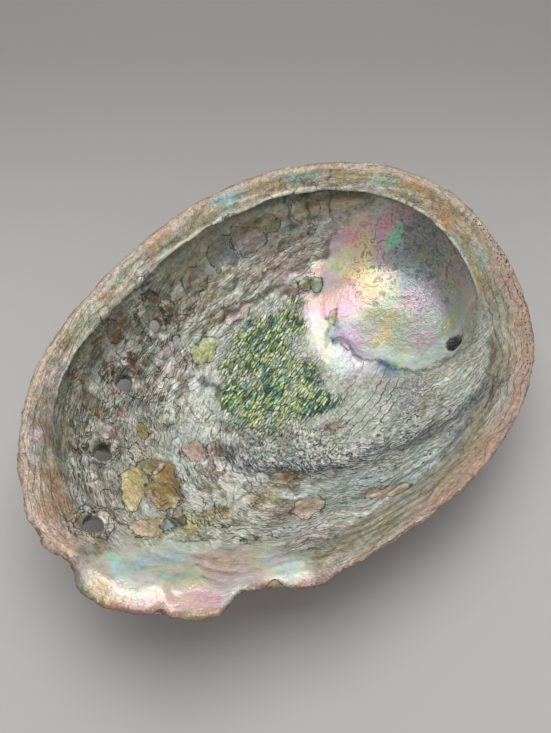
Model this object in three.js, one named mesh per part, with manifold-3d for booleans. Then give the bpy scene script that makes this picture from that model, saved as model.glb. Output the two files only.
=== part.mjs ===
// A large abalone shell lying on its back, opening up, as it is kept on a shelf or used as a dish.
//
// Millimetres, +Z up. X runs along the shell, with the spire at +X and the growing edge at -X. The shelf that
// carries the breathing pores is on the +Y side and the wide outer lip on the -Y side. The origin is under the
// middle of the shell, on the surface that it rests on.
//
// The shell grew as one piece, so it is one solid: rings of points are lofted from under its middle, up the back,
// over the rim and down the nacre wall to the floor of the bowl. The pores are then bored, and the back is worn
// flat where the shell stands.
import * as THREE from 'three';
import { LoftGeometry } from 'three/addons/geometries/LoftGeometry.js';
import { mergeGeometries, mergeVertices } from 'three/addons/utils/BufferGeometryUtils.js';
import Module from 'manifold-3d';

const AROUND = 120; // points in each ring
const BOWL_CENTRE = new THREE.Vector2(0, 6); // the rings close here
const FLOOR = 5; // height of the nacre at the bowl's centre
const THICKNESS = 4.2; // of the wall, away from the rim
const CENTRE_THICKNESS = 6; // before the back is worn flat
const RIM_THICKNESS = 3;
const OUTER_LIP_RISE = 2.2; // exponent of the gentle wall on the outer lip side
const SHELF_RISE = 3.5; // exponent of the steep wall under the shelf
const SHELF_BACK_RISE = 4; // exponent of the outside wall behind the shelf
const SCALLOP_SPREAD = 7; // sections each way over which the rim's scallops fade out below the band

// The rim, anticlockwise from the spire end: x, y and height of the edge, then the width of the band inside it,
// how far the band's inner edge lies below the rim, and how much of that edge is an overhanging shelf.
const RIM_STATIONS = [
  [103, -3, 47, 11, 6, 1],
  [102, 17, 48, 10, 6, 1],
  [94, 35, 49, 11, 5.5, 1],
  [79, 51, 50, 11, 5, 1],
  [60, 64, 50, 12, 4.5, 1],
  [35, 72.5, 50, 12.5, 4, 1],
  [5, 75, 50, 12.5, 4, 1],
  [-26, 71.5, 50, 12, 4, 1],
  [-48, 66, 50, 11.5, 4, 1],
  [-68, 57, 50, 9, 4, 0.85],
  [-83, 43.5, 50, 9, 5, 0.45],
  [-92, 32, 50, 10, 6, 0.1],
  [-98.5, 20, 50, 11, 7, 0],
  [-102, 8, 49, 11, 7, 0],
  [-100, -1, 48, 11, 7, 0],
  [-102, -11, 47.5, 12, 6, 0],
  [-101, -20, 47, 12, 5, 0],
  [-93, -32, 48, 13, 4.5, 0],
  [-84, -43.5, 49, 13, 4, 0],
  [-77.5, -48, 49, 12, 4.5, 0],
  [-69, -47.5, 47, 11, 5, 0],
  [-60, -54, 45, 11, 5, 0],
  [-51, -62.5, 45, 11, 5, 0],
  [-42, -65, 44, 11, 6, 0],
  [-27, -68.5, 43, 11, 7, 0],
  [-5, -73.5, 42, 11, 8, 0],
  [15, -75, 42, 11, 8, 0],
  [33.5, -73.5, 42, 11, 8, 0],
  [49, -70, 43, 12, 8, 0],
  [66, -61.5, 44, 13, 9, 0],
  [80, -49, 45, 15, 10, 0.15],
  [90.5, -34, 46, 15, 9, 0.6],
  [97.5, -20, 46, 13, 8, 0.9],
];

// The last whorl of the spire opens into the bowl as a round, flat-floored recess with a ledge on its -Y side.
const SPIRE = { x: 59, y: -1, radius: 41, floor: 7.5, wall: 30, rise: 5, ledgeRise: 7 };
// On the outside the spire is a low dome.
const SPIRE_DOME = { x: 70, y: -26, radius: 30, height: 4.5 };
// The hollow of the spire's first whorls is left as a small deep hole at the foot of the ledge.
const SPIRE_HOLE = { at: [67.5, -31.5, 12.5], towards: [0.15, -0.8, -0.55], radius: 3.2, depth: 4.5 };
// A fold left by a pause in growth crosses the back on the outer lip side.
const GROWTH_FOLD = { x: -22, y: -24, radius: 24, height: 2.2 };

// The open pores, newest first: x, y and the radius of the bore. They run along a ridge on the outside.
const PORES = [
  { x: -85.5, y: 5.5, radius: 3.2 },
  { x: -65, y: 29, radius: 3.4 },
  { x: -39.5, y: 48, radius: 3.1 },
  { x: -14.5, y: 57, radius: 3.1 },
];
const PORE_ROW = [[-94, -6], ...PORES.map((p) => [p.x, p.y]), [12, 58], [38, 56], [62, 44]];
const PORE_RIDGE = { width: 9, outside: 2.6, inside: 1.2 };

// The bores lean from square to the wall towards the upright line `lean`.
const PORE_BORE = { length: 17, flare: 1.15, lean: [-0.5, -0.48, 1.22] };
const BORE_SIDES = 20;

// Rings up the back, as shares of the way to the rim.
const BACK_RINGS = [0.04, 0.14, 0.27, 0.39, 0.5, 0.6, 0.69, 0.77, 0.84, 0.9, 0.95, 0.985];
// Rings over the rim's crest: distance from its outer edge, and height against it.
const RIM_CREST = [[0, -0.9], [0.9, 0], [2.2, -0.5]];
// Rings across the band inside the rim, as shares of its width.
const BAND_RINGS = [0.6, 0.32];
// Rings round the band's inner edge. Where it is a shelf: distance from its tip towards the rim, and height
// against it. Where the band runs on into the wall: the same distance alone.
const SHELF_EDGE = [[0.9, 0], [0, -0.9], [0.9, -1.8], [2.9, -2.6], [3.8, -4.2]];
const PLAIN_EDGE = [1.1, -0.3, -1.6, -3, -4.5];
// Rings down the bowl's wall, as shares of the way back to the band.
const WALL_RINGS = [0.97, 0.93, 0.89, 0.85, 0.8, 0.75, 0.7, 0.65, 0.59, 0.52, 0.44, 0.35, 0.25, 0.15, 0.05];

const { lerp, clamp, smoothstep } = THREE.MathUtils;

// The lower of two heights, with the corner between them rounded over about `soft` mm.
function roundedMin(a, b, soft) {
  const share = clamp(0.5 + (b - a) / (2 * soft), 0, 1);
  return lerp(b, a, share) - soft * share * (1 - share);
}

// 1 at the middle of a round bump and 0 at its foot.
function bump(x, y, { x: cx, y: cy, radius }) {
  const away = Math.hypot(x - cx, y - cy) / radius;
  return away < 1 ? (1 - away * away) ** 2 : 0;
}

const poreRow = new THREE.CatmullRomCurve3(PORE_ROW.map(([x, y]) => new THREE.Vector3(x, y, 0)));
const poreRowPoints = poreRow.getPoints(120);

// 1 on the row of pores, falling to 0 beside it and at its ends.
function poreRidge(x, y) {
  let nearest = Infinity;
  for (const p of poreRowPoints) nearest = Math.min(nearest, Math.hypot(p.x - x, p.y - y));
  return Math.exp(-((nearest / PORE_RIDGE.width) ** 2));
}

// The recess that the spire opens, as a height; or the outside round it, `grow` mm further out and with a softer
// ledge.
function spireRecess(x, y, grow = 0, ledge = 1) {
  const radius = SPIRE.radius + grow;
  const dx = x - SPIRE.x;
  const dy = y - SPIRE.y;
  const rise = lerp(SPIRE.rise, SPIRE.ledgeRise, ledge * smoothstep(-dy / radius, 0.3, 0.9));
  return SPIRE.floor - grow + SPIRE.wall * (Math.hypot(dx, dy) / radius) ** rise;
}

// One radial section of the shell, at one place along the rim: the rim's edge, then how far out and how high the
// inner edge of its band stands, how much of that edge is a shelf, and how steep the wall is for it.
class Section {
  constructor(rim, { tip, tipHeight, shelf, steepness }) {
    const toRim = new THREE.Vector2(rim.x, rim.y).sub(BOWL_CENTRE);
    this.reach = toRim.length();
    this.direction = toRim.normalize();
    this.rimHeight = rim.z;
    this.tip = tip;
    this.tipHeight = tipHeight;
    this.shelf = shelf;
    this.band = this.reach - tip;
    this.drop = rim.z - tipHeight;
    this.steepness = steepness;
    this.rise = lerp(OUTER_LIP_RISE, SHELF_RISE, steepness);
    [this.wallReach, this.wallHeight] = this.edge(SHELF_EDGE.length - 1);
  }

  place(away, height) {
    const { x, y } = this.direction;
    return new THREE.Vector3(BOWL_CENTRE.x + x * away, BOWL_CENTRE.y + y * away, height);
  }

  // The band of a plain lip: as steep as the wall at its inner edge, and flatter towards the rim.
  lipHeight(out) {
    const slope = (this.rise * (this.tipHeight - FLOOR)) / this.tip;
    if (out <= 0) return this.tipHeight + slope * out;
    const t = out / this.band;
    const start = Math.min(slope * this.band, 2.4 * this.drop);
    const end = 0.5 * this.drop;
    return this.tipHeight + start * t * (1 - t) ** 2 + this.drop * t * t * (3 - 2 * t) - end * t * t * (1 - t);
  }

  bandHeight(share) {
    const shelfHeight = this.tipHeight + this.drop * share;
    return lerp(this.lipHeight(share * this.band), shelfHeight, this.shelf);
  }

  // A ring of the band's inner edge, as a distance from the bowl's centre and a height.
  edge(ring) {
    const [shelfOut, shelfUp] = SHELF_EDGE[ring];
    const plainOut = PLAIN_EDGE[ring];
    return [
      this.tip + lerp(plainOut, shelfOut, this.shelf),
      lerp(this.lipHeight(plainOut), this.tipHeight + shelfUp, this.shelf),
    ];
  }

  // The bowl's wall without the spire's recess.
  bowl(away) {
    return FLOOR + (this.wallHeight - FLOOR) * (away / this.wallReach) ** this.rise;
  }

  // The nacre's height on the wall.
  wall(away) {
    const { x, y } = this.place(away, 0);
    return roundedMin(this.bowl(away), spireRecess(x, y), 5);
  }

  inside(share) {
    const away = share * this.wallReach;
    const point = this.place(away, this.wall(away));
    const fade = 1 - smoothstep(share, 0.9, 1);
    point.z -= PORE_RIDGE.inside * fade * poreRidge(point.x, point.y);
    return point;
  }

  // The outside behind a plain lip keeps the wall's thickness; behind a shelf it is one steep curve.
  outside(share) {
    const away = share * (this.reach - 0.6);
    const edge = this.rimHeight - RIM_THICKNESS;
    const centre = FLOOR - CENTRE_THICKNESS;
    const inner = (r) => (r < this.wallReach ? this.bowl(r) : this.lipHeight(r - this.tip));
    const slope = inner(away + 0.5) - inner(Math.max(away - 0.5, 0));
    const middle = lerp(CENTRE_THICKNESS, THICKNESS, smoothstep(share, 0, 0.4));
    const thickness = lerp(middle, RIM_THICKNESS, smoothstep(share, 0.6, 1)) * Math.hypot(1, slope);
    const behindShelf = centre + (edge - centre) * share ** SHELF_BACK_RISE;
    const back = lerp(inner(away) - thickness, behindShelf, smoothstep(this.steepness, 0, 1));
    const point = this.place(away, 0);
    const recess = spireRecess(point.x, point.y, THICKNESS + 2, 0);
    const fade = 1 - smoothstep(share, 0.85, 1);
    point.z = roundedMin(back, recess, 12);
    point.z -= fade * PORE_RIDGE.outside * poreRidge(point.x, point.y);
    point.z -= SPIRE_DOME.height * bump(point.x, point.y, SPIRE_DOME);
    point.z -= GROWTH_FOLD.height * bump(point.x, point.y, GROWTH_FOLD);
    return point;
  }
}

// The mean of the values round about one of them, on a ring.
function smoothed(values, i) {
  let sum = 0;
  for (let k = -SCALLOP_SPREAD; k <= SCALLOP_SPREAD; k += 1) sum += values.at((i + k) % values.length);
  return sum / (2 * SCALLOP_SPREAD + 1);
}

function sections() {
  const round = (pick) => new THREE.CatmullRomCurve3(RIM_STATIONS.map(pick), true, 'catmullrom');
  const rim = round(([x, y, z]) => new THREE.Vector3(x, y, z));
  const band = round(([, , , width, drop, shelf]) => new THREE.Vector3(width, drop, shelf));
  const places = Array.from({ length: AROUND }, (_, i) => {
    const t = rim.getUtoTmapping(i / AROUND); // evenly spaced along the rim
    return [rim.getPoint(t), band.getPoint(t)];
  });
  const tips = places.map(([p, b]) => Math.hypot(p.x - BOWL_CENTRE.x, p.y - BOWL_CENTRE.y) - b.x);
  const heights = places.map(([p, b]) => p.z - b.y);
  const shelves = places.map(([, b]) => clamp(b.z, 0, 1));
  return places.map(([p], i) => new Section(p, {
    tip: smoothed(tips, i),
    tipHeight: smoothed(heights, i),
    shelf: shelves[i],
    steepness: smoothed(shelves, i),
  }));
}

function rings(all) {
  const ring = (point) => all.map(point);
  return [
    ...BACK_RINGS.map((share) => ring((s) => s.outside(share))),
    ...RIM_CREST.map(([inward, up]) => ring((s) => s.place(s.reach - inward, s.rimHeight + up))),
    ...BAND_RINGS.map((share) => ring((s) => s.place(s.tip + share * s.band, s.bandHeight(share)))),
    ...SHELF_EDGE.map((_, i) => ring((s) => s.place(...s.edge(i)))),
    ...WALL_RINGS.map((share) => ring((s) => s.inside(share))),
  ];
}

// The loft's last ring is closed by a fan of triangles to the bowl's centre.
function shellSurface(all) {
  const lofted = rings(all);
  const skin = new LoftGeometry(lofted, { capStart: true });
  const floor = new THREE.CircleGeometry(1, AROUND);
  const last = lofted.at(-1);
  floor.attributes.position.setXYZ(0, BOWL_CENTRE.x, BOWL_CENTRE.y, FLOOR);
  for (let i = 0; i <= AROUND; i += 1) floor.attributes.position.setXYZ(i + 1, ...last[i % AROUND]);
  return mergeGeometries([skin, floor]);
}

const wasm = await Module();
wasm.setup();

function solid(geometry) {
  const bare = new THREE.BufferGeometry().copy(geometry);
  bare.deleteAttribute('normal');
  bare.deleteAttribute('uv');
  const merged = mergeVertices(bare, 1e-4);
  return new wasm.Manifold(new wasm.Mesh({
    numProp: 3,
    vertProperties: merged.attributes.position.array,
    triVerts: new Uint32Array(merged.index.array),
  }));
}

function geometryOf(manifold) {
  const { numVert, vertProperties, triVerts } = manifold.getMesh();
  const geometry = new THREE.BufferGeometry();
  geometry.setAttribute('position', new THREE.BufferAttribute(vertProperties.slice(0, numVert * 3), 3));
  geometry.setIndex(new THREE.BufferAttribute(triVerts, 1));
  geometry.computeVertexNormals();
  return geometry;
}

// The section that runs nearest through a point, and how far out the point lies on it.
function sectionAt(all, x, y) {
  const offset = new THREE.Vector2(x, y).sub(BOWL_CENTRE);
  const along = (s) => offset.dot(s.direction);
  return { section: all.reduce((best, s) => (along(s) > along(best) ? s : best)), away: offset.length() };
}

// A round cutter through a point: its radius at the end that the axis points to, and at the other end.
function bore(centre, axis, endRadius, startRadius, length) {
  const cutter = new THREE.CylinderGeometry(endRadius, startRadius, length, BORE_SIDES);
  cutter.applyQuaternion(new THREE.Quaternion().setFromUnitVectors(new THREE.Vector3(0, 1, 0), axis.normalize()));
  cutter.translate(...centre);
  return solid(cutter);
}

// Each pore runs obliquely through the wall, and is wider on the outside.
function poreBore(all, { x, y, radius }) {
  const { section, away } = sectionAt(all, x, y);
  const slope = section.wall(away + 1) - section.wall(away);
  const inward = new THREE.Vector3(-section.direction.x * slope, -section.direction.y * slope, 1);
  inward.normalize().add(new THREE.Vector3(...PORE_BORE.lean));
  const centre = new THREE.Vector3(x, y, section.wall(away) - THICKNESS / 2);
  return bore(centre, inward, radius, radius * PORE_BORE.flare, PORE_BORE.length);
}

// The hole at the foot of the ledge stays blind.
function spireHole() {
  const { at, towards, radius, depth } = SPIRE_HOLE;
  return bore(new THREE.Vector3(...at), new THREE.Vector3(...towards), radius * 0.7, radius * 1.1, 2 * depth);
}

// The surface that the shell stands on, as a slab to wear the back flat with.
function standingSlab() {
  const slab = new THREE.BoxGeometry(400, 400, 40);
  slab.translate(0, 0, -20);
  return solid(slab);
}

function shellSolid() {
  const all = sections();
  let shell = solid(shellSurface(all));
  for (const pore of PORES) shell = shell.subtract(poreBore(all, pore));
  return shell.subtract(spireHole()).subtract(standingSlab());
}

const nacre = new THREE.MeshStandardMaterial({ color: 0xb9bdb4, roughness: 0.32, metalness: 0 });
const shell = new THREE.Mesh(geometryOf(shellSolid()), nacre);
shell.name = 'shell';

// The origin stands under the middle of the shell's length and width.
const box = new THREE.Box3().setFromObject(shell);
const middle = box.getCenter(new THREE.Vector3());
shell.position.set(-middle.x, -middle.y, -box.min.z);

const abalone = new THREE.Group();
abalone.add(shell);

export default abalone;
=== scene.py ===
"""A large abalone shell on its back, its mother-of-pearl bowl open upwards, on a plain pale floor."""

import math

import bmesh
import bpy
import numpy as np
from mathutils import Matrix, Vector, noise


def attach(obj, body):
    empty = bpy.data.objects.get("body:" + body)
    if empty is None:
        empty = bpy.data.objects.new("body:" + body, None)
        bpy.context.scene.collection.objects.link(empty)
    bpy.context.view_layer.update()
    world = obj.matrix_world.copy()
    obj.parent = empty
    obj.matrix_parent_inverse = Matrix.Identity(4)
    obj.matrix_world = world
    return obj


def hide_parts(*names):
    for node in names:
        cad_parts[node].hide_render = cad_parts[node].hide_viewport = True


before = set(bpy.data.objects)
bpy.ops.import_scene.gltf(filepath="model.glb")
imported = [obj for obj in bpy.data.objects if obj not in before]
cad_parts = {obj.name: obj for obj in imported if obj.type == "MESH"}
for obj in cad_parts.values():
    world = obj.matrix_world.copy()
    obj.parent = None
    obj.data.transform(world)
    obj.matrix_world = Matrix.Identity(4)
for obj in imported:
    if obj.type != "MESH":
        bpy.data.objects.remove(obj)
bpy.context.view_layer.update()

bl_info = {
    "name": "Abalone shell",
    "version": (1, 0, 0),
    "blender": (4, 5, 0),
    "location": "3D View > Sidebar > Abalone",
    "description": "Grows the skin, relief and nacre of an abalone shell on its packed solid",
    "category": "Object",
}

MM = 0.001
LAYERS = ("tint", "ink", "inked", "outline", "scar", "gleam", "smudge", "pitted", "bark", "speckle", "stain",
          "busy", "ridge", "edge", "lined", "flow")

# Places on the shell are in millimetres in plan. X runs towards the spire and Y towards the pores.
BOWL_CENTRE = np.array((0.0, 6.0))
SPIRE_TIP = np.array((74.0, -36.0))  # growth lines close up towards it
SPIRE_HOLE = (67.6, -32.6, 12.0)
OPEN_PORES = ((-85.5, 5.5), (-65, 29), (-39.5, 48), (-14.5, 57))
FIELD_CENTRE = (15, 60)  # the growth lines of the pale field curve round it

# The stage, in metres and degrees.
FLOOR_REACH = 15
AWAY = (0.7193, 0.6947, 0)  # level, away from the camera
FLOOR_SHADE_START, FLOOR_SHADE_END, FLOOR_SHADE_SHARE = -0.04, 0.26, 0.52  # painted shade: the floor darkens away from the camera to this share of its colour
LAMP_PLACE = (0.10, 0.12, 0.85)
LAMP_SIZE = 0.65
ROOM_LIGHT = 0.47
CAMERA_TARGET = (-4.74 * MM, 0.97 * MM, 45 * MM)
CAMERA_AZIMUTH, CAMERA_ELEVATION, CAMERA_DISTANCE = -46, 60, 278 * MM
SENSOR_WIDTH, FIELD_OF_VIEW = 36, 50  # the sensor in millimetres

# Kinds of surface, each an oval in plan: x, y, long and short radius, turn in degrees.
SPIRE = (64, 2, 36, 34, 0)
SCAR = ((6, 25, 23, 14, 32), (11, -8, 12, 6, -30), (-11, 14, 14, 9, 40), (27, 27, 15, 9, 10),
        (12, 8, 16, 14, 0), (-3, 3, 15, 11, 20))
LOBE = (-86, -22, 18, 14, -30)
OUTER_LIP = (-78, -36, 40, 22, -42)
PORE_BAND = (-40, 44, 62, 22, 25)
PALE_FIELD = (22, -18, 24, 18, 0)
FAR_WALL = (36, 61, 46, 9, -14)
NEAR_SIDE = (50, -58, 66, 24, 20)
SMUDGED = (80, 6, 28, 20, -60)
BORED_EDGE = (80, -36, 42, 16, 54)
BARK = ((20, 50, 38, 8.5, -10), (54, 40, 18, 7, -36))
SPECKLED = (-10, -14, 26, 12, -48)
STAINED = (-32, -12, 38, 26, 20)

# Spots of colour on the shelf: an oval in plan and its colour.
SHELF_SPOTS = (
    (37, 68, 9, 2.6, -13, "#86A6B0"),
    (24, 66, 12, 2, -3, "#8A8A66"),
    (-45, 65, 5, 3.4, 22, "#98A488"),
    (-64, 55, 6, 4, 31, "#C5B3B2"),
    (-20, 70, 12, 2.4, 5, "#7F9C98"),
    (4, 72, 8, 2, 0, "#A58A62"),
    (52, 62, 10, 2.6, -25, "#9C8A66"),
    (66, 54, 8, 2.4, -36, "#7D9388"),
    (80, 41, 9, 2.6, -50, "#8F8158"),
    (88, 31, 7, 2.4, -58, "#7F927A"),
    (96, 18, 8, 2.4, -72, "#A17E54"),
    (93, 2, 6, 3, 80, "#B08A68"),
    (-78, 43, 12, 2.6, 47, "#8B7A68"),
    (-91, 21, 12, 6, 61, "#A98B74"),
    (-97, 4, 9, 4, 80, "#C4A69A"),
    (-84, 36, 9, 3, 52, "#B9A3AB"),
)

# Soft washes of colour in the nacre, laid over each other in this order:
# x, y, long radius, short radius, turn in degrees, colour, strength.
WASHES = (
    (-62, 30, 42, 22, 50, "#A39B96", 0.7),  # the pores' side is greyer, partly from painted shade
    # The next two washes grey the wall under the shelf, partly with painted shade.
    (-20, 62, 46, 9, 0, "#948F8B", 0.8),
    (55, 50, 34, 10, -32, "#8C8C88", 0.8),
    (90, 0, 28, 16, 85, "#A6A3A1", 0.95),  # the spire's far wall, grey partly from painted shade
    (84, 10, 16, 10, -55, "#929494", 0.8),
    (78, -16, 14, 10, 60, "#ABA8A2", 0.8),
    # The next three washes are the spire's pastel nacre colour, brightened partly as painted highlight.
    (78, 26, 16, 6, -37, "#D9B0B4", 0.9),
    (67, 17, 15, 9, -32, "#F2E2BE", 0.95),
    (52, 22, 13, 10, -38, "#EAC6CE", 0.95),
    (44, 5, 11, 8, -86, "#B5A7B9", 0.8),
    (56, -3, 12, 10, -33, "#A89478", 0.9),
    (64, -16, 16, 11, -33, "#A2998A", 0.95),
    (46, 43, 12, 6, -25, "#C2AFB4", 0.9),
    # Painted highlights over the spire's pastel nacre: a bright pink spot, a green glint and a yellow-green
    # streak.
    (74, -2, 6, 5, 35, "#D9B9BB", 0.8),
    (86, 18, 5, 2.4, -63, "#93D9B4", 0.9),
    (69, 28, 10, 2.6, -19, "#DDE9A4", 0.5),
    (21, -26, 22, 17, -5, "#B9BEB1", 0.9),  # smooth pale field beside the scar
    (-40, 22, 18, 9, 70, "#BDBFB4", 0.8),
    (34, -34, 9, 8, 88, "#A9ABB6", 0.7),
    (30, -31, 8, 2.4, 39, "#84987E", 0.6),
    (33, -41, 5, 2.4, 28, "#888E62", 0.8),
    (41, -19, 5, 4, 76, "#5F8A84", 0.8),
    (13, -56, 6, 3.6, -58, "#7FA29C", 0.7),
    (-11, -30, 16, 6, -52, "#8F9A95", 0.7),
    (-8, -47, 22, 9, -33, "#A4B3AE", 0.8),
    (40, -58, 34, 12, -25, "#A3ABA9", 0.8),
    (75, -42, 16, 10, 50, "#A9AFAC", 0.7),
    (16, -44, 17, 3.4, -35, "#4E5E60", 0.85),  # the dark fold, with the next two washes along it: dark colour, partly painted shade in its groove
    (-12, -27, 13, 4, -52, "#5B6264", 0.8),
    (-27, -3, 9, 5, 86, "#4C5E60", 0.75),
    (-22, 46, 8, 5, 16, "#BFA9B1", 0.8),
    # A painted glint, cyan.
    (-24, 52, 4.5, 3.2, 3, "#A8D5CF", 0.8),
    (-43, 36, 6, 4.4, -22, "#84A088", 0.8),
    (-39, 35, 4.4, 3.6, 31, "#8A6F80", 0.7),
    (-55, 54, 7, 2.6, 27, "#8E979B", 0.8),
    (-72, 20, 9, 5, 51, "#9A8A80", 0.6),
    (-35, -24, 7, 6, -53, "#BBA57C", 0.8),
    (-56, -14, 11, 5, -32, "#AE9F50", 0.95),
    (-71, -7, 9, 5, -30, "#A9AC78", 0.9),
    (-84, -20, 17, 9, -24, "#BFC5C8", 0.95),  # the smooth white lobe at the newest growth
    (-70, -30, 12, 6, -30, "#B5B0A8", 0.9),
    # A painted glint, pale green.
    (-91, -11, 4, 3, 60, "#B9E4D0", 0.8),
    (-80, -33, 7, 4, -50, "#B8AE9B", 0.8),
    (-82, -38, 13, 5.2, -53, "#D4B8BE", 0.95),
    (-97, -12, 9, 5, 70, "#C3A090", 0.8),
    (-76, -24, 10, 4, -30, "#BCC2C4", 0.8),
    (-64, -33, 9, 5, -35, "#C9B7B0", 0.8),
    (-20, -10, 7, 4, -40, "#5F7F72", 0.6),
    (-44, -8, 8, 5, 40, "#D8D4C8", 0.8),
    (-38, -30, 12, 5, -40, "#B89F78", 0.6),
    (-16, -45, 10, 5, -35, "#7E9A86", 0.7),
    (-34, -50, 14, 5, -38, "#BBA9A2", 0.7),
    (-66, -42, 9, 6, -40, "#CBB9B2", 0.8),
    (-50, -38, 14, 8, -35, "#B9B5AC", 0.8),
    (-55, -30, 7, 3.6, -40, "#7F8F78", 0.7),
    (-92, 20, 12, 7, 61, "#B08F6C", 0.9),
    (-96, 8, 9, 6, 80, "#C2A596", 0.7),
)

# Blisters: nacre laid over something caught beneath it, each with a dark outline.
# x, y, long radius, short radius, turn in degrees, colour, height.
BLISTERS = (
    (9, 60, 5.6, 3.2, -9, "#9B9A95", -0.5),
    (25, 60, 6.4, 3.6, -13, "#8F9896", -0.6),
    (37, 57, 7.6, 3.8, -23, "#A29E9A", -0.5),
    (47.5, 56, 4, 2, -29, "#77725F", -0.3),
    (63, 49, 6.6, 2.6, -38, "#85837D", 0.3),
    (-13, 58, 9, 5.6, -5, "#9C9893", 0.6),
    (-8, 59, 3.2, 2, -3, "#8B8B7E", 0.3),
    (-32, 60, 3, 1.6, 26, "#7A5F46", 0.2),
    (-39, 52, 5.4, 2, 32, "#8B9496", 0.4),
    (-34, 52, 4, 2.4, 1, "#7C6A66", 0.4),
    (-56, 46, 6, 1.6, 70, "#77603C", 0.3),
    (-62, 33, 7.4, 5, 31, "#92807A", 0.6),
    (-48, 30, 3, 2.4, 39, "#93854E", 0.4),
    (-55, 23, 4.6, 2.4, 50, "#BCB8A8", 0.4),
    (-67, 11, 9.5, 4.2, 48, "#CDBC8E", 1.0),
    (-58, 5, 10, 6.4, 49, "#A5875A", 1.2),
    (-60, 2, 4.4, 3.6, -7, "#93794F", 0.5),
    (-56, 15, 4.4, 3.6, -75, "#8D8660", 0.8),
    (-72, -6, 7, 3.4, -30, "#C8B6A0", 0.6),
    (-67, -8, 3.6, 2.8, 53, "#8D8D90", 0.3),
    (-62, -8, 3.2, 2.6, 53, "#7C5E38", 0.2),
    (-5, 41, 6.4, 4.4, 19, "#BFC391", 0.5),
    (16, 44, 7, 3.6, -14, "#D9C3C4", 0.5),
    (-38, 10, 5.4, 4.4, 44, "#B89F99", 0.6),
    (-31, 6, 3.4, 2.6, 87, "#A88C7F", 0.4),
    (-29, -38, 6.4, 3.8, -31, "#B59D88", 0.9),
    (-23, -21, 4.8, 3.4, -51, "#A6A37A", 0.5),
    (7, -20, 5.6, 2.2, -43, "#8F6E56", 0.6),
    (-7, -55, 7.6, 2.6, -35, "#A78E80", 0.7),
    (38, 3, 4.8, 1.6, 82, "#B59E92", 0.4),
    (45, 15, 4.6, 2.2, 25, "#A9AF8B", 0.4),
    (40, 34, 3.2, 2.6, -50, "#8C7B70", 0.7),
    (45, 33, 2.6, 2.2, -50, "#96897B", 0.7),
    (50, 30, 3.0, 2.2, -50, "#8E8A78", 0.7),
)

# Notches broken in the rim: x, y, radius, depth.
NOTCHES = ((-90.5, -34, 2.6, 2.2), (-69.5, -47.5, 2.2, 2.0), (-61, -53, 2.4, 3.0), (-101, -3, 4, 2.0),
           (-42, -66, 3, 1.4), (-101, 12, 3, 1.2))

# The dark fold: a groove in the relief, darkened partly with painted shade.
DARK_FOLD = ((48, -58), (40, -56), (26, -52), (10, -42), (-8, -31), (-20, -18), (-30, -4), (-31, 6))

# Dark strokes along edges and folds: colour, width, then the line that each follows. Those beside the dark fold
# and its ridge are partly painted shade.
STROKES = (
    ("#35423F", 1.3, ((63, -36), (52, -34), (43, -24), (39, -10), (37, 2), (39, 12), (43, 17))),
    ("#4A3F30", 1.1, ((-6, 53), (10, 54), (24, 51), (36, 47), (50, 39), (60, 35), (68, 37))),
    ("#55472F", 1.0, ((-2, 46), (12, 47), (26, 44), (38, 39), (48, 31))),
    ("#3E3C38", 0.9, ((58, 59), (57, 54), (55, 49))),
    ("#3E3C38", 0.9, ((66, 54), (64, 49), (61, 45))),
    ("#3E3C38", 0.9, ((74, 47), (72, 43), (70, 39))),
    ("#45433D", 1.6, ((-66, 46), (-56, 53), (-47, 56), (-40, 60))),
    ("#5A4630", 1.2, ((-67, 38), (-58, 44), (-52, 41), (-47, 36))),
    ("#3F443F", 1.4, ((-44, 42), (-37, 39), (-30, 38))),
    ("#53492F", 1.0, ((-64, -4), (-56, -10), (-44, -16), (-34, -18))),
    ("#6A5A48", 0.9, ((-72, -14), (-64, -20), (-54, -21), (-44, -26))),
    # Along the dark fold and the ridge beside it: dark strokes, partly painted shade.
    ("#4A5658", 1.5, ((36, -47), (22, -50), (8, -47), (-4, -40))),
    ("#55605C", 1.2, ((32, -60), (14, -60), (-2, -54), (-16, -46))),
    ("#4F4A3C", 1.2, ((66, -44), (54, -52), (40, -56))),
    ("#38453F", 1.6, ((-20, 40), (-14, 34), (-12, 26), (-16, 18), (-14, 8))),
)

# Folds in the floor of the bowl: height, width, then the line that each follows.
FOLDS = (
    (0.9, 2.6, ((58, -33), (48, -27), (41, -19), (38, -4), (37, 6), (42, 16))),  # the old whorl's seam
    (-1.2, 3.2, DARK_FOLD),
    (1.1, 5.0, ((44, -60), (28, -57), (10, -48), (-12, -38), (-30, -25))),
    (0.8, 3.0, ((-3, 50), (12, 50), (26, 48), (38, 42), (52, 32), (60, 26))),  # bark under the closed pores
    (-0.6, 2.0, ((-8, 46), (10, 46), (24, 43), (36, 37), (48, 27))),
    (1.6, 6.0, ((-98, -12), (-92, -22), (-84, -28), (-74, -30))),
    (-0.9, 3.5, ((-86, -36), (-80, -30), (-70, -27), (-60, -28), (-50, -34))),
)


def linear(hex_colour):
    """An sRGB hex colour as linear red, green and blue."""
    parts = [int(hex_colour[i : i + 2], 16) / 255 for i in (1, 3, 5)]
    return [c / 12.92 if c <= 0.04045 else ((c + 0.055) / 1.055) ** 2.4 for c in parts]


def ramp(x, low, high):
    """0 below low, 1 above high, and a smooth step between them, for numbers or arrays."""
    t = np.clip((x - low) / (high - low), 0, 1)
    return t * t * (3 - 2 * t)


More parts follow.
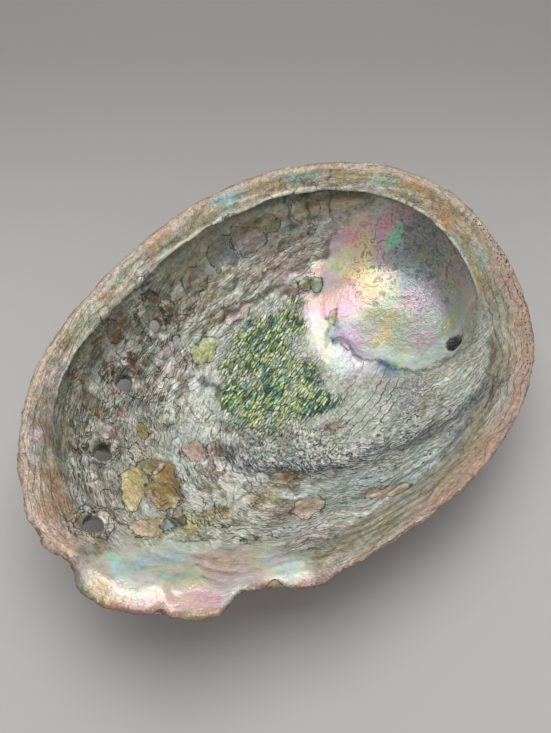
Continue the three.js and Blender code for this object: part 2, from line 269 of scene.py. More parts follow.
class AbaloneSettings(bpy.types.PropertyGroup):
    """Sizes and colours that can be changed before the pieces are made."""

    mesh_size: bpy.props.FloatProperty(
        name="Mesh size", description="Length of an edge of the shell's even mesh", default=1.02 * MM,
        min=0.8 * MM, max=3 * MM, precision=5, subtype="DISTANCE", unit="LENGTH")
    relief: bpy.props.FloatProperty(
        name="Relief", description="Share of the full height of the folds, blisters and ridges", default=1.0,
        min=0.0, max=1.2, subtype="FACTOR")
    nacre_colour: bpy.props.FloatVectorProperty(
        name="Nacre", description="Colour of plain nacre, away from the washes of colour",
        default=linear("#D3D6CE"), min=0.0, max=1.0, size=3, subtype="COLOR")
    line_colour: bpy.props.FloatVectorProperty(
        name="Lines", description="Colour of the dark lines between sheets of nacre",
        default=linear("#2E2A24"), min=0.0, max=1.0, size=3, subtype="COLOR")
    line_strength: bpy.props.FloatProperty(
        name="Line strength", description="How fully the dark lines cover the nacre", default=1.0, min=0.0,
        max=1.0, subtype="FACTOR")
    crust_colour: bpy.props.FloatVectorProperty(
        name="Crust", description="Colour of the outside where it is least worn",
        default=linear("#7A4B3C"), min=0.0, max=1.0, size=3, subtype="COLOR")
    floor_colour: bpy.props.FloatVectorProperty(
        name="Floor", description="Colour of the floor under the shell", default=linear("#B8B4B1"), min=0.0,
        max=1.0, size=3, subtype="COLOR")
    lamp_power: bpy.props.FloatProperty(
        name="Lamp", description="Power of the soft lamp overhead", default=5.6, min=0.0, max=50.0,
        unit="POWER")


class Skin:
    """The shell's points in millimetres, with what is known about each of them. `inset` is how far in from
    the rim it is, `growth` runs from 0 at the spire's tip to 1 at the rim, `sweep` is its direction from it."""

    def __init__(self, mesh):
        self.points = np.empty(len(mesh.vertices) * 3)
        mesh.vertices.foreach_get("co", self.points)
        self.points = self.points.reshape(-1, 3) / MM
        self.normals = np.empty(len(mesh.vertices) * 3)
        mesh.vertices.foreach_get("normal", self.normals)
        self.normals = self.normals.reshape(-1, 3)
        self.x, self.y, self.z = self.points.T.copy()
        self.rim = outer_edge(self.points)
        offset = self.points[:, :2] - BOWL_CENTRE
        self.away = np.hypot(*offset.T)
        self.inset = self.reach_from(BOWL_CENTRE, offset) - self.away  # mm in from the rim
        self.angle = np.arctan2(offset[:, 1], offset[:, 0])
        outwards = (self.normals[:, :2] * offset).sum(1) / np.maximum(self.away, 1)
        facing = -self.normals[:, 2] + np.where(outwards > 0, 0.8, 2) * outwards
        in_bore = [ramp(np.hypot(self.x - x - 0.7, self.y - y - 0.7), 4.6, 3.9) for x, y in OPEN_PORES]
        self.outside = ramp(facing, 0.0, 0.4) * (1 - np.max(in_bore, 0))
        from_tip = self.points[:, :2] - SPIRE_TIP
        self.growth = np.hypot(*from_tip.T) / self.reach_from(SPIRE_TIP, from_tip)
        self.sweep = np.arctan2(-from_tip[:, 1], -from_tip[:, 0])
        self.places = self.points.copy()  # where each point was before it was pushed
        self.warped_x = self.x + 1.6 * self.grain(6, 1) + 0.7 * self.grain(2.4, 2)
        self.warped_y = self.y + 1.6 * self.grain(6, 3) + 0.7 * self.grain(2.4, 4)

    def reach_from(self, centre, offset):
        """How far the rim is from a centre in plan, in the direction of each offset."""
        around = self.rim - centre
        angles = np.arctan2(around[:, 1], around[:, 0])
        order = np.argsort(angles)
        return np.interp(np.arctan2(offset[:, 1], offset[:, 0]), angles[order],
                         np.hypot(*around[order].T), period=2 * math.pi)

    def grain(self, size, seed=0, places=None):
        """Smooth noise from about -1 to 1, whose lumps are `size` mm across."""
        places = (self.places if places is None else places) / size + seed * 17.3
        return np.array([noise.noise(p) for p in places.tolist()]) * 1.6

    def oval(self, x, y, long, short, turn, warped=True):
        """Distance from an oval's centre in plan, in radii: 1 on its outline."""
        dx, dy = (self.warped_x - x, self.warped_y - y) if warped else (self.x - x, self.y - y)
        c, s = math.cos(math.radians(turn)), math.sin(math.radians(turn))
        return np.hypot((dx * c + dy * s) / long, (dy * c - dx * s) / short)

    def from_line(self, line):
        """Distance in plan from a line of points."""
        nearest = np.full(len(self.x), 1e9)
        here = np.stack((self.warped_x, self.warped_y), 1)
        for a, b in zip(np.array(line, float), np.array(line[1:], float)):
            along = np.clip(((here - a) @ (b - a)) / ((b - a) @ (b - a)), 0, 1)
            nearest = np.minimum(nearest, np.hypot(*(here - a - along[:, None] * (b - a)).T))
        return nearest

    def push(self, millimetres):
        """Moves every point along its normal, and keeps the place where the shell stands flat."""
        standing = self.places[:, 2] < 0.05
        moved = self.points + self.normals * np.where(standing, 0, millimetres)[:, None]
        moved[:, 2] = np.where(standing, self.places[:, 2], np.maximum(moved[:, 2], 0.02))
        self.points = moved


def outer_edge(points):
    """The rim's outer edge in plan: the farthest point in each of 360 directions, in millimetres."""
    offset = points[:, :2] - BOWL_CENTRE
    away = np.hypot(*offset.T)
    sector = ((np.arctan2(offset[:, 1], offset[:, 0]) / math.tau) % 1 * 360).astype(int)
    order = np.lexsort((away, sector))
    last = np.flatnonzero(np.diff(sector[order], append=-1))
    return points[order[last], :2]


def fine_copy(node, voxel, name):
    """A closed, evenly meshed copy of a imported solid, with its facets smoothed away."""
    mesh = bpy.data.meshes.new(name)
    made = bmesh.new()
    made.from_mesh(node.data)
    bmesh.ops.remove_doubles(made, verts=made.verts, dist=0.02 * MM)
    bmesh.ops.join_triangles(made, faces=made.faces, angle_face_threshold=0.7, angle_shape_threshold=1.2)
    crease = made.edges.layers.float.new("crease_edge")
    for edge in made.edges:
        if edge.calc_face_angle(0) > 0.9:  # the mouths of the bores stay crisp
            edge[crease] = 1
    made.to_mesh(mesh)
    made.free()
    piece = bpy.data.objects.new(name, mesh)
    bpy.context.scene.collection.objects.link(piece)
    rounding = piece.modifiers.new("Round the facets", "SUBSURF")
    rounding.levels = rounding.render_levels = 2
    even = piece.modifiers.new("Even mesh", "REMESH")
    even.mode = "VOXEL"
    even.voxel_size = voxel
    soften = piece.modifiers.new("Soften", "SMOOTH")
    soften.factor = 0.5
    soften.iterations = 4
    bpy.context.view_layer.update()
    finished = bpy.data.meshes.new_from_object(piece.evaluated_get(bpy.context.evaluated_depsgraph_get()))
    piece.modifiers.clear()
    piece.data = finished
    finished.name = name
    return piece


def nearer(a, b):
    """Of two signed distances, the one nearer to zero."""
    return np.where(np.abs(a) < np.abs(b), a, b)


def relief(skin):
    """How far each point of the shell stands out from the smooth solid, in millimetres."""
    inside = 1 - skin.outside
    spire = ramp(skin.oval(*SPIRE), 1.1, 0.8)
    floor = inside * ramp(skin.inset, 1, 8)
    up = floor * (1 - 0.7 * spire) * (0.55 * skin.grain(24, 5) + 0.3 * skin.grain(9, 6))
    waves = np.sin(math.tau * (skin.growth * 24 + 0.5 * skin.grain(18, 7)))
    up += floor * (1 - spire) * 0.22 * waves * ramp(skin.growth, 0.3, 0.6)
    terraces = skin.ink - np.floor(skin.ink)
    up += floor * skin.inked * 0.22 * (ramp(terraces, 0.35, 0.65) - 0.5)
    for x, y, long, short, turn, _, height in BLISTERS:
        up += inside * height * ramp(skin.oval(x, y, long, short, turn), 1.1, 0.75)
    for height, width, line in FOLDS:
        up += inside * height * np.exp(-((skin.from_line(line) / width) ** 2))
    for x, y in OPEN_PORES:
        away = np.hypot(skin.x - x, skin.y - y)
        ring = np.exp(-(((away - 5.4) / 1.7) ** 2)) * ramp(away, 3.8, 4.8)
        up += (0.7 * inside + 1.6 * skin.outside) * ring
    up += inside * skin.scar * 0.28 * skin.grain(1.8, 8)
    # The rim is layered and chipped.
    edge = ramp(skin.inset, 6, 0)
    for x, y, radius, depth in NOTCHES:
        up -= depth * np.exp(-(((skin.x - x) ** 2 + (skin.y - y) ** 2) / radius**2)) * ramp(skin.inset, 5, 1)
    up += edge * (0.35 * skin.grain(9, 9) + 0.25 * skin.grain(2.6, 10))
    # The outside has growth ridges, spiral cords and an eroded, encrusted surface.
    out = skin.outside * ramp(skin.inset, 0.5, 4)
    ridges = np.sin(math.tau * (skin.growth * 15 + 0.45 * skin.grain(22, 11)))
    cords = np.sin(skin.sweep * 60 + 1.5 * skin.grain(16, 12))
    up += out * (0.55 * ridges + 0.25 * cords + 0.6 * skin.grain(13, 13) + 0.35 * np.abs(skin.grain(4, 14)))
    return up


def paint(skin, plain):
    """Works out the nacre's tint, its dark lines and where each kind of surface is."""
    inside = 1 - skin.outside
    scar = sum(ramp(skin.oval(*patch), 1.25, 0.6) for patch in SCAR)
    skin.scar = inside * np.clip(scar, 0, 1)
    spire = ramp(skin.oval(*SPIRE), 1.08, 0.92)
    level = ramp(skin.normals[:, 2], 0.35, 0.6)
    outer_lip = ramp(skin.oval(*OUTER_LIP), 1.1, 0.85)
    shelf = inside * ramp(skin.inset, 14.5, 13) * ramp(skin.z, 29, 34) * level * (1 - outer_lip)
    pores = ramp(skin.oval(*PORE_BAND), 1.1, 0.7)
    calm = ramp(skin.oval(*PALE_FIELD), 1.2, 0.8)
    skin.ink = (skin.growth * 38 + (1 - 0.75 * calm) * (1.0 + 1.9 * pores) * skin.grain(15, 20)
                + (0.5 - 0.35 * calm) * skin.grain(5, 21))
    from_centre = np.hypot(skin.x - FIELD_CENTRE[0], skin.y - FIELD_CENTRE[1])
    skin.ink += calm * ((from_centre - 44) / 3.2 + 0.25 * skin.grain(12, 31) - skin.ink)
    skin.ink += shelf * (0.42 * skin.inset + 0.8 * skin.grain(10, 29) - skin.ink)
    lobe = ramp(skin.oval(*LOBE), 1.1, 0.8)
    smooth = np.maximum(lobe, 0.85 * outer_lip)
    wall = ramp(skin.oval(*FAR_WALL), 1.15, 0.85)
    # Near the dark fold: more lines and stains, and a painted shadow in the nacre.
    skin.busy = inside * np.exp(-((skin.from_line(DARK_FOLD) / 5) ** 2))
    patchy = ramp(skin.grain(12, 27) + 0.5 * skin.grain(5, 28), -0.35, 0.55)
    lively = 0.3 + 0.55 * patchy + 0.25 * pores + 0.3 * ramp(skin.y, 0, -30) + 0.5 * skin.busy
    skin.inked = inside * np.clip(lively * (1 - 0.93 * spire) * (1 - 0.9 * smooth) * (1 - 0.6 * skin.scar)
                                  * (1 - 0.5 * shelf) * (1 - 0.8 * wall) * (1 - 0.5 * calm), 0, 1)
    tint = np.tile(np.array(plain, float), (len(skin.x), 1))

    def lay(colour, amount):
        tint[:] += (np.array(linear(colour)) - tint) * np.clip(amount, 0, 1)[:, None]

    for x, y, long, short, turn, colour, strength in WASHES:
        lay(colour, strength * ramp(skin.oval(x, y, long, short, turn), 1.3, 0.6))
    outline = np.full(len(skin.x), 9.0)
    for x, y, long, short, turn, colour, _ in BLISTERS:
        radii = skin.oval(x, y, long, short, turn)
        lay(colour, ramp(radii, 1.06, 0.94))
        skin.inked *= 1 - 0.75 * ramp(radii, 1.0, 0.85)
        outline = nearer(outline, (radii - 1) * (long + short) / 2)
    for x, y in OPEN_PORES:
        away = np.hypot(skin.warped_x - x, skin.warped_y - y)
        lay("#A09C97", 0.7 * ramp(away, 8, 5))
        outline = nearer(nearer(outline, away - 4.8), away - 6.8)
    # The shelf: cream and tan nacre in bands along the rim.
    round_rim = np.stack((skin.inset * 3.2, 42 * np.cos(skin.angle), 42 * np.sin(skin.angle)), 1)
    lay("#A59982", 0.95 * shelf)
    lay("#867A64", 0.5 * shelf * ramp(skin.x, 90, 20))
    bands = (("#787E60", 22, 0.1), ("#C2B6A7", 23, 0.05), ("#8C6F4E", 25, 0.3), ("#90A4A4", 30, 0.4))
    for colour, seed, low in bands:
        lay(colour, 0.7 * shelf * ramp(skin.grain(8, seed, round_rim), low, low + 0.3))
    for x, y, long, short, turn, colour in SHELF_SPOTS:
        lay(colour, 0.85 * shelf * ramp(skin.oval(x, y, long, short, turn), 1.2, 0.7))
    # The worn edge: cream and pink, with a rust line outermost.
    worn = ramp(skin.inset + 0.8 * skin.grain(5, 26), 4.2, 2.8) * inside
    lay("#C2B2A4", 0.85 * worn)
    near_side = ramp(skin.oval(*NEAR_SIDE), 1.15, 0.85)
    lay("#B9998A", 0.85 * inside * near_side * ramp(skin.inset + 1.2 * skin.grain(9, 32), 7.5, 5.5))
    newest = ramp(skin.x, -20, -50) * ramp(skin.y, 30, 5)
    lay("#84604A", (0.55 + 0.35 * newest) * ramp(skin.inset - 0.8 * newest, 1.9, 0.9)
        * ramp(skin.grain(8, 24) + 0.7 * newest, -0.5, 0.2))
    for colour, width, line in STROKES:
        lay(colour, inside * 0.85 * ramp(skin.from_line(line), width, 0.4 * width))
    # The hole that runs down into the first whorls is painted near-black: painted shade deep inside it.
    x, y, z = SPIRE_HOLE
    depth = np.sqrt((skin.x - x) ** 2 + ((skin.y - y) * 0.8) ** 2 + (skin.z - z) ** 2)
    hole_shade = ramp(depth, 4.6, 4.0) * inside
    lay("#0B0A09", hole_shade)
    skin.edge = ramp(skin.inset, 7, 1.5) * ramp(skin.z, 26, 34)
    skin.tint = tint
    skin.outline = outline
    skin.gleam = inside * (1 - hole_shade) * np.clip(
        0.4 + 0.6 * spire * ramp(skin.x, 96, 76) + 0.55 * smooth - 0.2 * shelf, 0, 1)
    skin.smudge = spire * inside * (1 - hole_shade) * ramp(skin.oval(*SMUDGED), 1.2, 0.7)
    skin.pitted = worn * ramp(skin.oval(*BORED_EDGE), 1.2, 0.8) + 0.15 * worn
    bark = sum(ramp(skin.oval(*patch), 1.2, 0.7) for patch in BARK)
    skin.bark = inside * (1 - spire) * np.clip(bark, 0, 1)
    skin.speckle = inside * ramp(skin.oval(*SPECKLED), 1.25, 0.6)
    middle = ramp(skin.oval(*STAINED), 1.25, 0.6)
    skin.lined = np.maximum(skin.inked, 0.9 * calm * inside * (1 - skin.scar))
    skin.stain = inside * (1 - spire) * (1 - smooth) * (1 - 0.7 * wall) * (1 - 0.6 * shelf) * np.clip(
        0.2 + 0.7 * pores + 0.6 * middle + 0.4 * skin.busy, 0, 1)
    skin.flow = np.stack((skin.growth * 110, skin.sweep * 60, skin.z), 1)


def ridges(mesh):
    """How sharply the surface bends at each point: below 0 in a groove, 1 on a ridge of 1 mm radius."""
    ends = np.empty(len(mesh.edges) * 2, int)
    mesh.edges.foreach_get("vertices", ends)
    a, b = ends.reshape(-1, 2).T
    places, normals = np.empty((2, len(mesh.vertices) * 3))
    mesh.vertices.foreach_get("co", places)
    mesh.vertices.foreach_get("normal", normals)
    step = (places.reshape(-1, 3)[b] - places.reshape(-1, 3)[a]) / MM
    turn = normals.reshape(-1, 3)[b] - normals.reshape(-1, 3)[a]
    bend = (turn * step).sum(1) / np.maximum((step * step).sum(1), 0.01)
    count = np.bincount(ends, minlength=len(mesh.vertices))

    def gathered(values_a, values_b):
        return (np.bincount(a, values_a, len(count)) + np.bincount(b, values_b, len(count))) / count

    bent = gathered(bend, bend)
    return 0.5 * bent + 0.5 * gathered(bent[b], bent[a])


def keep(mesh, name, values):
    """Stores numbers, vectors or colours on the points of a mesh."""
    values = np.asarray(values, float)
    kind = {1: "FLOAT", 2: "FLOAT_VECTOR"}[values.ndim]
    if name == "tint":
        kind = "FLOAT_COLOR"
        values = np.column_stack((values, np.ones(len(values))))
    layer = mesh.attributes.new(name, kind, "POINT")
    slot = {"FLOAT": "value", "FLOAT_VECTOR": "vector", "FLOAT_COLOR": "color"}[kind]
    layer.data.foreach_set(slot, values.ravel())


def node(material, kind, inputs=(), **settings):
    """Adds a shader node. Its inputs, by name or number, are values or the outputs linked to them."""
    made = material.node_tree.nodes.new(kind)
    for name, value in settings.items():
        setattr(made, name, value)
    for name, value in dict(inputs).items():
        if isinstance(value, bpy.types.NodeSocket):
            material.node_tree.links.new(value, made.inputs[name])
        else:
            made.inputs[name].default_value = value
    return made


def new_material(name):
    """An empty material with a gloss shader, and that shader."""
    material = bpy.data.materials.new(name)
    material.use_nodes = True
    material.node_tree.nodes.clear()
    shader = node(material, "ShaderNodeBsdfPrincipled")
    node(material, "ShaderNodeOutputMaterial", {"Surface": shader.outputs[0]})
    return material, shader


def millimetres(material):
    """Places on the piece, in millimetres."""
    place = node(material, "ShaderNodeTexCoord").outputs["Object"]
    return node(material, "ShaderNodeVectorMath", {0: place, "Scale": 1 / MM}, operation="SCALE").outputs[0]


def stored(material, name, output="Fac"):
    return node(material, "ShaderNodeAttribute", attribute_name=name).outputs[output]


def math_node(material, operation, a, b=0.0, clamp=False):
    return node(material, "ShaderNodeMath", {0: a, 1: b}, operation=operation, use_clamp=clamp).outputs[0]


def between(material, value, low, high, to_low=0.0, to_high=1.0):
    """A smooth step of a value from low to high."""
    return node(material, "ShaderNodeMapRange", {0: value, 1: low, 2: high, 3: to_low, 4: to_high},
                interpolation_type="SMOOTHSTEP").outputs[0]


def blend(material, amount, a, b, mode="MIX"):
    """Colour a changed towards colour b by an amount, or multiplied by b."""
    return node(material, "ShaderNodeMix", {0: amount, 6: a, 7: b}, data_type="RGBA",
                blend_type=mode).outputs[2]


def rgba(hex_colour):
    return (*linear(hex_colour), 1)


def stops(material, value, colours):
    """A colour ramp with its colours evenly spaced."""
    made = node(material, "ShaderNodeValToRGB", {0: value})
    elements = made.color_ramp.elements
    while len(elements) < len(colours):
        elements.new(0.5)
    for i, colour in enumerate(colours):
        elements[i].position = i / (len(colours) - 1)
        elements[i].color = rgba(colour)
    return made.outputs[0]


def noise_at(m, place, scale, detail=2.0, **more):
    inputs = {"Vector": place, "Scale": scale, "Detail": detail, **more}
    return node(m, "ShaderNodeTexNoise", inputs).outputs[0]


def stretched(m, place, turn, size):
    """Coordinates whose unit is `size` mm along X, Y and Z after a turn about Z."""
    return node(m, "ShaderNodeMapping", {"Vector": place, "Rotation": (0, 0, math.radians(turn)),
                                         "Scale": size}, vector_type="TEXTURE").outputs[0]


def scaled(m, place, scale):
    return node(m, "ShaderNodeMapping", {"Vector": place, "Scale": scale}).outputs[0]


def lines(m, value, count, width):
    """Thin lines where a value passes each 1/count, `width` of the way to the next one."""
    wave = math_node(m, "PINGPONG", math_node(m, "MULTIPLY", value, count), 0.5)
    return between(m, wave, width, 0.3 * width)


def times(m, *values):
    """The product of numbers or outputs."""
    product = values[0]
    for value in values[1:]:
        product = math_node(m, "MULTIPLY", product, value)
    return product


def scar_cells(m, place):
    """The muscle scar's colour, in small elongated cells, and how far each place is from its cell's edge."""
    warp = node(m, "ShaderNodeTexNoise", {"Vector": place, "Scale": 0.45, "Detail": 2}).outputs[1]
    bent = node(m, "ShaderNodeVectorMath", {0: stretched(m, place, 10, (3.8, 1.05, 4)), 1: warp},
                operation="ADD").outputs[0]
    cells = node(m, "ShaderNodeTexVoronoi", {"Vector": bent, "Scale": 1.0}, voronoi_dimensions="2D")
    gaps = node(m, "ShaderNodeTexVoronoi", {"Vector": bent, "Scale": 1.0}, voronoi_dimensions="2D",
                feature="DISTANCE_TO_EDGE").outputs[0]
    own = node(m, "ShaderNodeSeparateColor", {0: cells.outputs["Color"]}).outputs[0]
    broad = between(m, noise_at(m, place, 0.09), 0.35, 0.65)
    mixed = math_node(m, "ADD", times(m, own, 0.5), times(m, broad, 0.5))
    colour = stops(m, mixed, ("#0C2B28", "#1F6A4C", "#6FA84E", "#CBD07A", "#ECEDD0", "#86C497", "#D3CE83",
                              "#2F9684", "#0F5560", "#0F3340"))
    strand = noise_at(m, stretched(m, place, 12, (5, 0.8, 3)), 1.0, 3)
    colour = blend(m, between(m, strand, 0.48, 0.62, 0, 0.7), colour, rgba("#1E3A34"))
    colour = blend(m, between(m, strand, 0.46, 0.34, 0, 0.6), colour, rgba("#E4E8DA"))
    return colour, gaps


def mother_of_pearl(settings):
    """Nacre: aragonite platelets laid down in sheets by the animal. Satin gloss, with pastel interference
    colours, and dark conchiolin lines where one sheet ends and the next begins."""
    m, shader = new_material("mother_of_pearl")
    place = millimetres(m)
    flow = stored(m, "flow", "Vector")
    inked, scar, gleam, stain, busy, ridge = (
        stored(m, name) for name in ("inked", "scar", "gleam", "stain", "busy", "ridge"))
    coarse = noise_at(m, place, 0.3, 3)
    uneven = math_node(m, "SUBTRACT", coarse, 0.5)
    fine = noise_at(m, place, 1.3, 3)
    body = stored(m, "tint", "Color")

    # Pastel interference colours, stronger where the nacre is thick and smooth.
    hue = noise_at(m, place, 0.04, 2, Distortion=0.2)
    sheen = stops(m, between(m, math_node(m, "ADD", hue, times(m, uneven, 0.22)), 0.3, 0.7), (
        "#B9CBD8", "#D9B4CE", "#EDC0BC", "#F1E3A6", "#B5E0B2", "#A0D4DA", "#CDB4DE"))
    body = blend(m, times(m, gleam, 0.24), body, sheen)
    # Each sheet has its own shade.
    field = math_node(m, "ADD", stored(m, "ink"), times(m, uneven, 1.9, inked))
    sheet = math_node(m, "FLOOR", field)
    layer = node(m, "ShaderNodeTexWhiteNoise", {"W": sheet}, noise_dimensions="1D").outputs[0]
    shade = stops(m, layer, ("#83877C", "#D2CCC2", "#93A09E", "#E6E6DE", "#A18F7C", "#BCCABE", "#F0EFE8"))
    body = blend(m, times(m, inked, 0.4), body, shade)
    # Stains and thicker sheets of other colours, 4 to 12 mm across.
    patch = noise_at(m, place, 0.13, 4, Roughness=0.55, Distortion=0.15)
    stains = stops(m, between(m, noise_at(m, place, 0.07, 1), 0.34, 0.66), (
        "#74532B", "#5E8F72", "#C99F9C", "#4F8A80", "#A5863C", "#73889A", "#7D5F42"))
    body = blend(m, times(m, stain, between(m, patch, 0.5, 0.56), 0.85), body, stains)
    body = blend(m, times(m, stain, between(m, patch, 0.45, 0.38), 0.6), body, rgba("#E2E0D8"))
    # The muscle scar, in patches, with dark gaps between its cells.
    scar_colour, gaps = scar_cells(m, place)
    patchy = math_node(m, "ADD", times(m, scar, 0.35), times(m, noise_at(m, place, 0.12, 4), 0.65))
    body = blend(m, times(m, scar, between(m, patchy, 0.52, 0.7), 0.92), body, scar_colour)
    gap = times(m, scar, between(m, gaps, 0.12, 0.02), between(m, fine, 0.4, 0.56))

    # Dark lines between the sheets, finer ones that run with the growth with painted highlights beside them,
    # short flecks, and a painted shadow along the dark fold.
    between_sheets = lines(m, field, 1.0, 0.075)
    line = times(m, between_sheets, stored(m, "lined"), between(m, noise_at(m, place, 0.1), 0.66, 0.42))
    grain = noise_at(m, scaled(m, flow, (0.7, 0.12, 0.15)), 1.0, 4, Roughness=0.6)
    thin = times(m, lines(m, grain, 9.0, 0.11), inked, between(m, noise_at(m, place, 0.16, 3), 0.4, 0.56))
    # Painted highlights beside the fine lines, on the light side of each.
    pale = times(m, lines(m, math_node(m, "ADD", grain, 0.05), 9.0, 0.16), inked, 0.5)
    streak = noise_at(m, scaled(m, flow, (1.9, 0.5, 0.5)), 1.0, 3, Roughness=0.65)
    fleck = times(m, between(m, streak, 0.51, 0.58), inked)
    # Painted shadow along the dark fold.
    shadow = times(m, busy, between(m, math_node(m, "ADD", streak, times(m, busy, 0.1)), 0.5, 0.6))
    ragged = times(m, math_node(m, "SUBTRACT", fine, 0.5), 1.4)
    edge = math_node(m, "ABSOLUTE", math_node(m, "ADD", stored(m, "outline"), ragged))
    outline = times(m, between(m, edge, 0.34, 0.1), between(m, coarse, 0.34, 0.5))
    # Bark-like brown fibres, and black speckle below the scar.
    bark = stored(m, "bark")
    fibre = noise_at(m, stretched(m, place, -3, (8, 1.3, 3)), 1.0, 4, Roughness=0.6)
    fibres = times(m, bark, math_node(m, "MAXIMUM", between(m, fibre, 0.53, 0.6), lines(m, fibre, 7.0, 0.1)))
    body = blend(m, times(m, bark, between(m, fibre, 0.5, 0.38), 0.8), body, rgba("#B9A98B"))
    grains = noise_at(m, stretched(m, place, 20, (1.5, 0.8, 1)), 1.0, 3)
    specks = times(m, stored(m, "speckle"), between(m, grains, 0.5, 0.58))
    # Grey smudges in the spire, and holes bored in the worn edge.
    smoke = noise_at(m, place, 0.22, 4, Distortion=1.4)
    clouds = times(m, between(m, smoke, 0.55, 0.63), 0.8)
    smudge = times(m, stored(m, "smudge"), math_node(m, "MAXIMUM", clouds, lines(m, smoke, 5.0, 0.1)))
    bored = node(m, "ShaderNodeTexVoronoi", {"Vector": place, "Scale": 0.85}).outputs["Distance"]
    spared = times(m, between(m, coarse, 0.5, 0.3), 0.5)
    pit = times(m, stored(m, "pitted"), between(m, math_node(m, "ADD", bored, spared), 0.34, 0.24))

    # Fine mottling, painted shade in the grooves and painted highlights on the ridges.
    tone = stops(m, noise_at(m, place, 0.55, 5, Roughness=0.65), ("#4A4A48", "#A5A5A2", "#FFFFFF", "#FFFFFF"))
    mottled = blend(m, 1.0, body, tone, "MULTIPLY")
    body = blend(m, between(m, gleam, 0.4, 0.95, 0.72, 0.3), body, mottled)
    # Painted shade in the grooves, then painted highlight on the ridges.
    body = blend(m, between(m, ridge, -0.02, -0.28, 0, 0.75), body, rgba("#403E38"))
    body = blend(m, between(m, ridge, 0.05, 0.34, 0, 0.6), body, rgba("#F0EEE4"))
    body = node(m, "ShaderNodeGamma", {"Color": body, "Gamma": 1.28}).outputs[0]
    value = between(m, gleam, 0.4, 0.95, 1.46, 1.22)
    body = node(m, "ShaderNodeHueSaturation", {"Saturation": 1.1, "Value": value, "Color": body}).outputs[0]
    dark = (*settings.line_colour, 1)
    strength = 0.9 * settings.line_strength
    for amount, colour in (
        (times(m, fleck, 0.65), rgba("#434A46")),
        # painted shadow along the dark fold
        (times(m, shadow, 0.8), rgba("#2B3335")),
        (times(m, fibres, 0.75), rgba("#5C4C35")),
        (times(m, specks, 0.8), rgba("#262C2E")),
        (times(m, smudge, 0.7), rgba("#4E5356")),
        # painted highlights beside the fine lines
        (pale, rgba("#F4F2EA")),
        (times(m, thin, 0.85 * settings.line_strength), dark),
        (times(m, line, strength), dark),
        (times(m, outline, strength), dark),
        (times(m, gap, 0.9), rgba("#17241F")),
        (times(m, pit, 0.9), rgba("#3A2A1E")),
    ):
        body = blend(m, amount, body, colour)
    m.node_tree.links.new(body, shader.inputs["Base Color"])
    shader.inputs["IOR"].default_value = 1.6
    shader.inputs["Metallic"].default_value = 0.15  # stands for the light that the thin layers throw back
    m.node_tree.links.new(between(m, gleam, 0.2, 1.0, 0.36, 0.24), shader.inputs["Roughness"])
    cuts = math_node(m, "ADD", times(m, scar, between(m, gaps, 0.15, 0.0)), times(m, between_sheets, inked))
    rough = times(m, math_node(m, "ADD", fine, grain), 0.8)
    height = math_node(m, "SUBTRACT", math_node(m, "ADD", times(m, coarse, 2.0), rough), cuts)
    depth = between(m, gleam, 0.4, 0.95, 0.95, 0.4)
    bump = node(m, "ShaderNodeBump", {"Strength": depth, "Distance": 0.5 * MM, "Height": height}).outputs[0]
    m.node_tree.links.new(bump, shader.inputs["Normal"])
    return m


def outer_crust(settings):
    """The calcite outside, coloured brick red by the animal's food. It is matt, worn pale along its growth
    bands, and rusty at its edge."""
    m, shader = new_material("shell_crust")
    place = millimetres(m)
    patches = noise_at(m, place, 0.08, 5, Roughness=0.6)
    body = stops(m, between(m, patches, 0.3, 0.7), ("#95624F", "#A98A78", "#B9A898", "#8D6A58"))
    body = blend(m, between(m, patches, 0.46, 0.36), body, (*settings.crust_colour, 1))
    body = blend(m, times(m, stored(m, "edge"), 0.85), body, rgba("#8A5935"))
    bands = noise_at(m, scaled(m, stored(m, "flow", "Vector"), (0.9, 0.05, 0.05)), 1.0, 3)
    body = blend(m, between(m, bands, 0.5, 0.66, 0, 0.55), body, rgba("#B9A794"))
    fine = noise_at(m, place, 0.9, 5)
    grime = stops(m, fine, ("#555555", "#C0C0C0", "#FFFFFF"))
    body = blend(m, 0.5, body, blend(m, 1.0, body, grime, "MULTIPLY"))
    m.node_tree.links.new(body, shader.inputs["Base Color"])
    shader.inputs["Roughness"].default_value = 0.85
    bump = node(m, "ShaderNodeBump", {"Strength": 0.6, "Distance": 0.5 * MM, "Height": fine}).outputs[0]
    m.node_tree.links.new(bump, shader.inputs["Normal"])
    return m


class ABALONE_OT_shell(bpy.types.Operator):
    """Grow the shell's fine surface"""

    bl_idname = "abalone.shell"
    bl_label = "Shell"

    def execute(self, context):
        settings = context.scene.abalone
        piece = fine_copy(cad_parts["shell"], settings.mesh_size, "abalone_shell")
        mesh = piece.data
        skin = Skin(mesh)
        paint(skin, settings.nacre_colour)
        skin.push(settings.relief * relief(skin))
        mesh.vertices.foreach_set("co", (skin.points * MM).ravel())
        mesh.update()
        skin.ridge = ridges(mesh) * ramp(skin.inset, 1.5, 5)
        for name in LAYERS:
            keep(mesh, name, getattr(skin, name))
        mesh.materials.append(mother_of_pearl(settings))
        mesh.materials.append(outer_crust(settings))
        corners = np.empty(len(mesh.loops), int)
        mesh.loops.foreach_get("vertex_index", corners)
        starts = np.empty(len(mesh.polygons), int)
        mesh.polygons.foreach_get("loop_start", starts)
        mesh.polygons.foreach_set("material_index", (skin.outside[corners[starts]] > 0.5).astype(int))
        mesh.shade_smooth()
        mesh.update()
        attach(piece, "root")
        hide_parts("shell")
        return {"FINISHED"}


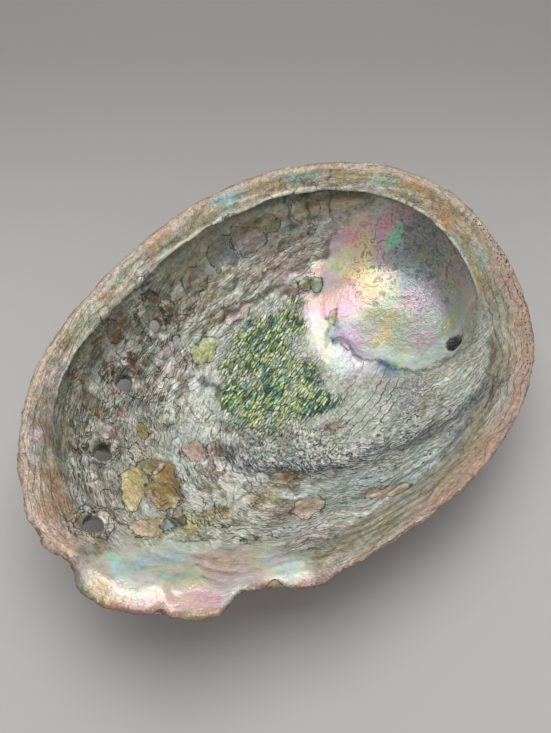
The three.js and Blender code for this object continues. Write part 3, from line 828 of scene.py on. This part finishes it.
class ABALONE_OT_stage(bpy.types.Operator):
    """Set out the floor, the lights and the camera"""

    bl_idname = "abalone.stage"
    bl_label = "Stage"

    def execute(self, context):
        scene = context.scene
        settings = scene.abalone
        made = bmesh.new()
        bmesh.ops.create_grid(made, x_segments=1, y_segments=1, size=FLOOR_REACH)
        mesh = bpy.data.meshes.new("floor")
        made.to_mesh(mesh)
        made.free()
        floor = bpy.data.objects.new("floor", mesh)
        scene.collection.objects.link(floor)
        paper, shader = new_material("matt_paper")
        place = node(paper, "ShaderNodeTexCoord").outputs["Object"]
        away = node(paper, "ShaderNodeVectorMath", {0: place, 1: AWAY},
                    operation="DOT_PRODUCT").outputs["Value"]
        near, far = ((*(share * c for c in settings.floor_colour), 1) for share in (1, FLOOR_SHADE_SHARE))
        # Painted shade: the floor's colour darkens away from the camera.
        colour = blend(paper, between(paper, away, FLOOR_SHADE_START, FLOOR_SHADE_END), near, far)
        paper.node_tree.links.new(colour, shader.inputs["Base Color"])
        shader.inputs["Roughness"].default_value = 0.9
        mesh.materials.append(paper)
        camera = bpy.data.cameras.new("camera")
        camera.sensor_width = SENSOR_WIDTH
        camera.lens = SENSOR_WIDTH / 2 / math.tan(math.radians(FIELD_OF_VIEW / 2))
        camera.clip_start = 0.01
        holder = bpy.data.objects.new("camera", camera)
        scene.collection.objects.link(holder)
        azimuth, elevation = math.radians(CAMERA_AZIMUTH), math.radians(CAMERA_ELEVATION)
        back = Vector((math.sin(azimuth) * math.cos(elevation), -math.cos(azimuth) * math.cos(elevation),
                       math.sin(elevation)))
        holder.location = Vector(CAMERA_TARGET) + back * CAMERA_DISTANCE
        holder.rotation_euler = back.to_track_quat("Z", "Y").to_euler()
        scene.camera = holder
        lamp = bpy.data.lights.new("key", "AREA")
        lamp.energy = settings.lamp_power
        lamp.size = LAMP_SIZE
        key = bpy.data.objects.new("key", lamp)
        scene.collection.objects.link(key)
        key.location = LAMP_PLACE
        key.rotation_euler = key.location.to_track_quat("Z", "Y").to_euler()
        world = bpy.data.worlds.new("room")
        world.use_nodes = True
        background = world.node_tree.nodes["Background"]
        background.inputs["Color"].default_value = (ROOM_LIGHT, ROOM_LIGHT, ROOM_LIGHT, 1)
        scene.world = world
        scene.view_settings.view_transform = "Standard"
        return {"FINISHED"}


class ABALONE_PT_panel(bpy.types.Panel):
    """Settings and steps of the abalone shell"""

    bl_idname = "ABALONE_PT_panel"
    bl_label = "Abalone shell"
    bl_space_type = "VIEW_3D"
    bl_region_type = "UI"
    bl_category = "Abalone"

    def draw(self, context):
        for name in AbaloneSettings.__annotations__:
            self.layout.prop(context.scene.abalone, name)
        for step in STEPS:
            self.layout.operator(step.bl_idname)


STEPS = (ABALONE_OT_shell, ABALONE_OT_stage)
CLASSES = (AbaloneSettings, *STEPS, ABALONE_PT_panel)


def register():
    for kind in CLASSES:
        bpy.utils.register_class(kind)
    bpy.types.Scene.abalone = bpy.props.PointerProperty(type=AbaloneSettings)


def unregister():
    del bpy.types.Scene.abalone
    for kind in reversed(CLASSES):
        bpy.utils.unregister_class(kind)


def main():
    register()
    bpy.ops.abalone.shell()
    bpy.ops.abalone.stage()


if __name__ == "__main__":
    main()
